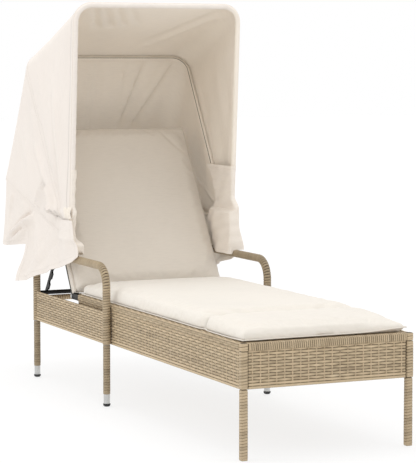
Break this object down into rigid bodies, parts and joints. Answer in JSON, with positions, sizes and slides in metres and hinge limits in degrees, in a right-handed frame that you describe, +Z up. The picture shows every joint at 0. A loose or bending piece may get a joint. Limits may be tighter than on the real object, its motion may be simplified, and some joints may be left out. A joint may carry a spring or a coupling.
{
  "type": "sun lounger",
  "caption": "Woven sun lounger with a padded seat, a tilting padded backrest, arched armrests and a cloth canopy that folds back over the head end.",
  "frame": {"origin": "middle of the footprint on the ground: half way along the lounger and half way across it", "axes": "+X across the lounger to the lying person's left, +Y from the foot end to the head end, +Z up"},
  "size_m": [0.6676, 1.9899, 1.3184],
  "materials": {
    "rattan_wrap": "wound and woven synthetic rattan strand, light brown",
    "rattan_weave": "woven synthetic rattan panel, light brown",
    "black_steel": "black powder coat, satin",
    "frame_steel": "dark olive powder coat, satin",
    "bare_metal": "plain tube",
    "black_plastic": "moulded black plastic",
    "canopy_cloth": "woven outdoor cloth, off-white",
    "cushion_cloth": "padded outdoor cloth, off-white"
  },
  "bodies": {
    "seat_frame": {"arm_band_left": "rattan_weave", "arm_band_right": "rattan_weave", "arm_tube_left": "rattan_wrap", "arm_tube_right": "rattan_wrap", "canopy_bolt_left": "black_plastic", "canopy_bolt_right": "black_plastic", "canopy_bracket_left": "black_steel", "canopy_bracket_right": "black_steel", "catch_bar": "black_steel", "corner_post_left": "rattan_wrap", "corner_post_right": "rattan_wrap", "cross_bar_1": "frame_steel", "cross_bar_2": "frame_steel", "curtain_back": "canopy_cloth", "curtain_left": "canopy_cloth", "curtain_right": "canopy_cloth", "foot_cap_mid_left": "black_plastic", "foot_cap_mid_right": "black_plastic", "foot_cap_rear_left": "black_plastic", "foot_cap_rear_right": "black_plastic", "front_apron": "rattan_weave", "front_leg_left": "rattan_wrap", "front_leg_right": "rattan_wrap", "front_rail": "rattan_wrap", "hinge_pin_left": "bare_metal", "hinge_pin_right": "bare_metal", "hinge_plate_left": "black_steel", "hinge_plate_right": "black_steel", "leg_sleeve_mid_left": "rattan_wrap", "leg_sleeve_mid_right": "rattan_wrap", "leg_sleeve_rear_left": "rattan_wrap", "leg_sleeve_rear_right": "rattan_wrap", "leg_tube_mid_left": "bare_metal", "leg_tube_mid_right": "bare_metal", "leg_tube_rear_left": "bare_metal", "leg_tube_rear_right": "bare_metal", "rear_bow": "black_steel", "rear_rail": "rattan_wrap", "rear_stretcher": "rattan_wrap", "seat_cushion": "cushion_cloth", "seat_deck": "rattan_weave", "side_apron_left": "rattan_weave", "side_apron_right": "rattan_weave", "side_rail_left": "rattan_wrap", "side_rail_right": "rattan_wrap"},
    "backrest": {"back_bottom_rail": "frame_steel", "back_cushion": "cushion_cloth", "back_panel": "rattan_weave", "back_stile_left": "frame_steel", "back_stile_right": "frame_steel", "back_top_rail": "frame_steel", "prop_pin_left": "bare_metal", "prop_pin_right": "bare_metal"},
    "prop": {"prop_rod": "black_steel", "prop_strut_left": "black_steel", "prop_strut_right": "black_steel"},
    "canopy_middle": {"canopy_back": "canopy_cloth", "mid_bow": "black_steel"},
    "canopy_fore": {"canopy_front": "canopy_cloth", "front_bow": "black_steel"}
  },
  "joints": [
    {"name": "backrest_tilt", "type": "hinge", "parent": "seat_frame", "child": "backrest", "pos_m": [0, 0.353, 0.322], "axis": [1, 0, 0], "range_deg": [-58, 0]},
    {"name": "prop_swing", "type": "hinge", "parent": "backrest", "child": "prop", "pos_m": [0, 0.49438, 0.5426], "axis": [1, 0, 0], "range_deg": [0, 110.4]},
    {"name": "mid_bow_fold", "type": "hinge", "parent": "seat_frame", "child": "canopy_middle", "pos_m": [0, 0.297, 0.505], "axis": [1, 0, 0], "range_deg": [-28, 0], "deforming": ["canopy_back"]},
    {"name": "front_bow_fold", "type": "hinge", "parent": "canopy_middle", "child": "canopy_fore", "pos_m": [0, 0.297, 0.505], "axis": [1, 0, 0], "range_deg": [-23, 0], "deforming": ["canopy_front"]}
  ],
  "couplings": [
    {"joint": "prop_swing", "follows": "backrest_tilt", "ratio": -1.9017},
    {"joint": "front_bow_fold", "follows": "mid_bow_fold", "ratio": 0.82143}
  ]
}
